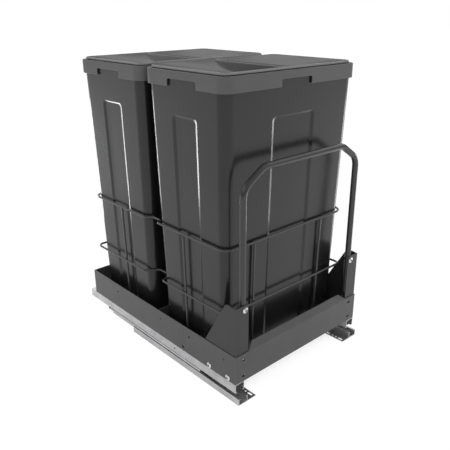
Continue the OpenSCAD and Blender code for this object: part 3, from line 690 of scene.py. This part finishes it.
# The faces of the rounded rim take the pale material: a painted highlight
for face in plate.data.polygons:
    past_x, past_y = past_corner(face.center.x, face.center.y)
    out = math.hypot(past_x, past_y) if min(past_x, past_y) > 0 else max(past_x, past_y)
    face.material_index = int(lid_radius - out < lid_round)
for end in ends:
    piece = placed_copy(plate, f"waste_lid_{end}", f"lid_{end}")
    stands_for(piece, f"lid_{end}")
bpy.data.objects.remove(plate)


# Studio: a white floor that runs out of sight, a white room that is greyer behind the camera,
# and two upright light strips that draw the edges of the sunk panels. What the floor adds to
# mirrored light fades towards the object, and the floor deep under the tray stays dark.
floor_size = 30
floor_drop = 0.5 * mm
shadow_reach = 0.45
deep_shade = 0.1
open_shade = 0.14
floor_share = 0.85
floor_glow = 1.12

bpy.ops.object.select_all(action="DESELECT")
bpy.ops.mesh.primitive_plane_add(size=floor_size, location=(0, 0, -floor_drop))
floor = bpy.context.object
floor.name = "studio_floor"
bpy.ops.object.transform_apply(location=True, rotation=True, scale=True)
floor_white, tree, shader = new_material("white_studio_floor")
shader.inputs["Base Color"].default_value = linear("#f0f0f0")
shader.inputs["Roughness"].default_value = 0.9
path = add(tree, "ShaderNodeLightPath", {})
open_floor = add(tree, "ShaderNodeAmbientOcclusion", {"Distance": shadow_reach}, samples=8)
mirrored_floor = add(tree, "ShaderNodeMath", {0: path.outputs["Is Glossy Ray"],
                                              1: open_floor.outputs["AO"]}, operation="MULTIPLY")
lit_floor = add(tree, "ShaderNodeMapRange", {"Value": open_floor.outputs["AO"],
                                             "From Min": deep_shade, "From Max": open_shade})
viewed_floor = add(tree, "ShaderNodeMath", {0: path.outputs["Is Camera Ray"],
                                            1: lit_floor.outputs[0]}, operation="MULTIPLY")
white_floor = add(tree, "ShaderNodeMath", {0: viewed_floor.outputs[0],
                                           1: mirrored_floor.outputs[0]}, operation="MAXIMUM")
any_floor = add(tree, "ShaderNodeMath", {0: white_floor.outputs[0],
                                         1: path.outputs["Is Transmission Ray"]}, operation="MAXIMUM")
glow_share = add(tree, "ShaderNodeMath", {0: any_floor.outputs[0], 1: floor_share},
                 operation="MULTIPLY")
glow = add(tree, "ShaderNodeEmission", {"Color": linear("#ffffff"), "Strength": floor_glow})
surface = add(tree, "ShaderNodeMixShader", {0: glow_share.outputs[0], 1: shader.outputs[0],
                                            2: glow.outputs[0]})
tree.links.new(surface.outputs[0], tree.nodes["Material Output"].inputs["Surface"])
floor.data.materials.append(floor_white)

front_way = (-0.65, -0.72, 0.25)
wall_greys = [(0.0, 0.1), (0.12, 0.15), (0.28, 0.6), (0.43, 1.8), (0.55, 1.6), (0.72, 0.8),
              (0.95, 0.6)]

room = bpy.data.worlds.new("white_room")
bpy.context.scene.world = room
room.use_nodes = True
tree = room.node_tree
path = add(tree, "ShaderNodeLightPath", {})
way = add(tree, "ShaderNodeTexCoord", {}).outputs["Generated"]
facing = add(tree, "ShaderNodeVectorMath", {0: way, 1: front_way}, operation="DOT_PRODUCT")
front_wall = add(tree, "ShaderNodeMapRange", {"Value": facing.outputs["Value"], "From Min": 0.0,
                                              "From Max": 0.8, "To Min": 1.0, "To Max": 0.5})
height = add(tree, "ShaderNodeSeparateXYZ", {0: way}).outputs["Z"]
wall = add(tree, "ShaderNodeValToRGB", {"Fac": height})
for level, grey in wall_greys:
    stop = wall.color_ramp.elements.new(level)
    stop.color = (grey, grey, grey, 1)
wall.color_ramp.elements.remove(wall.color_ramp.elements[0])
wall.color_ramp.elements.remove(wall.color_ramp.elements[-1])
mirrored_room = add(tree, "ShaderNodeMath", {0: wall.outputs["Color"], 1: front_wall.outputs[0]},
                    operation="MULTIPLY")
ceiling = add(tree, "ShaderNodeMapRange", {"Value": height, "From Min": 0.3, "From Max": 0.7,
                                           "To Min": 0.9, "To Max": 0.5})
viewed_room = add(tree, "ShaderNodeMath", {0: path.outputs["Is Camera Ray"],
                                           1: path.outputs["Is Transmission Ray"]}, operation="MAXIMUM")
lighting = add(tree, "ShaderNodeMix", {0: path.outputs["Is Glossy Ray"], 2: ceiling.outputs[0],
                                       3: mirrored_room.outputs[0]})
strength = add(tree, "ShaderNodeMix", {0: viewed_room.outputs[0], 2: lighting.outputs[0], 3: 1.0})
tree.nodes["Background"].inputs["Color"].default_value = linear("#ffffff")
tree.links.new(strength.outputs[0], tree.nodes["Background"].inputs["Strength"])


def light_strip(name, place, aim, wide, tall, radiance):
    bpy.ops.object.light_add(type="AREA", location=place)
    lamp = bpy.context.object
    lamp.name = name
    lamp.data.shape = "RECTANGLE"
    lamp.data.size = wide
    lamp.data.size_y = tall
    lamp.data.energy = radiance * math.pi * wide * tall
    lamp.rotation_mode = "QUATERNION"
    lamp.rotation_quaternion = (Vector(aim) - Vector(place)).to_track_quat("-Z", "Y")
    lamp.visible_camera = False


light_strip("left_strip", place=(-0.205, 0.72, 0.222), aim=(-0.16, -0.1, 0.3),
            wide=0.1, tall=0.355, radiance=12.0)
light_strip("right_strip", place=(0.70, -0.33, 0.20), aim=(0, -0.22, 0.3),
            wide=0.1, tall=0.4, radiance=6.5)

bpy.context.scene.view_settings.view_transform = "Standard"
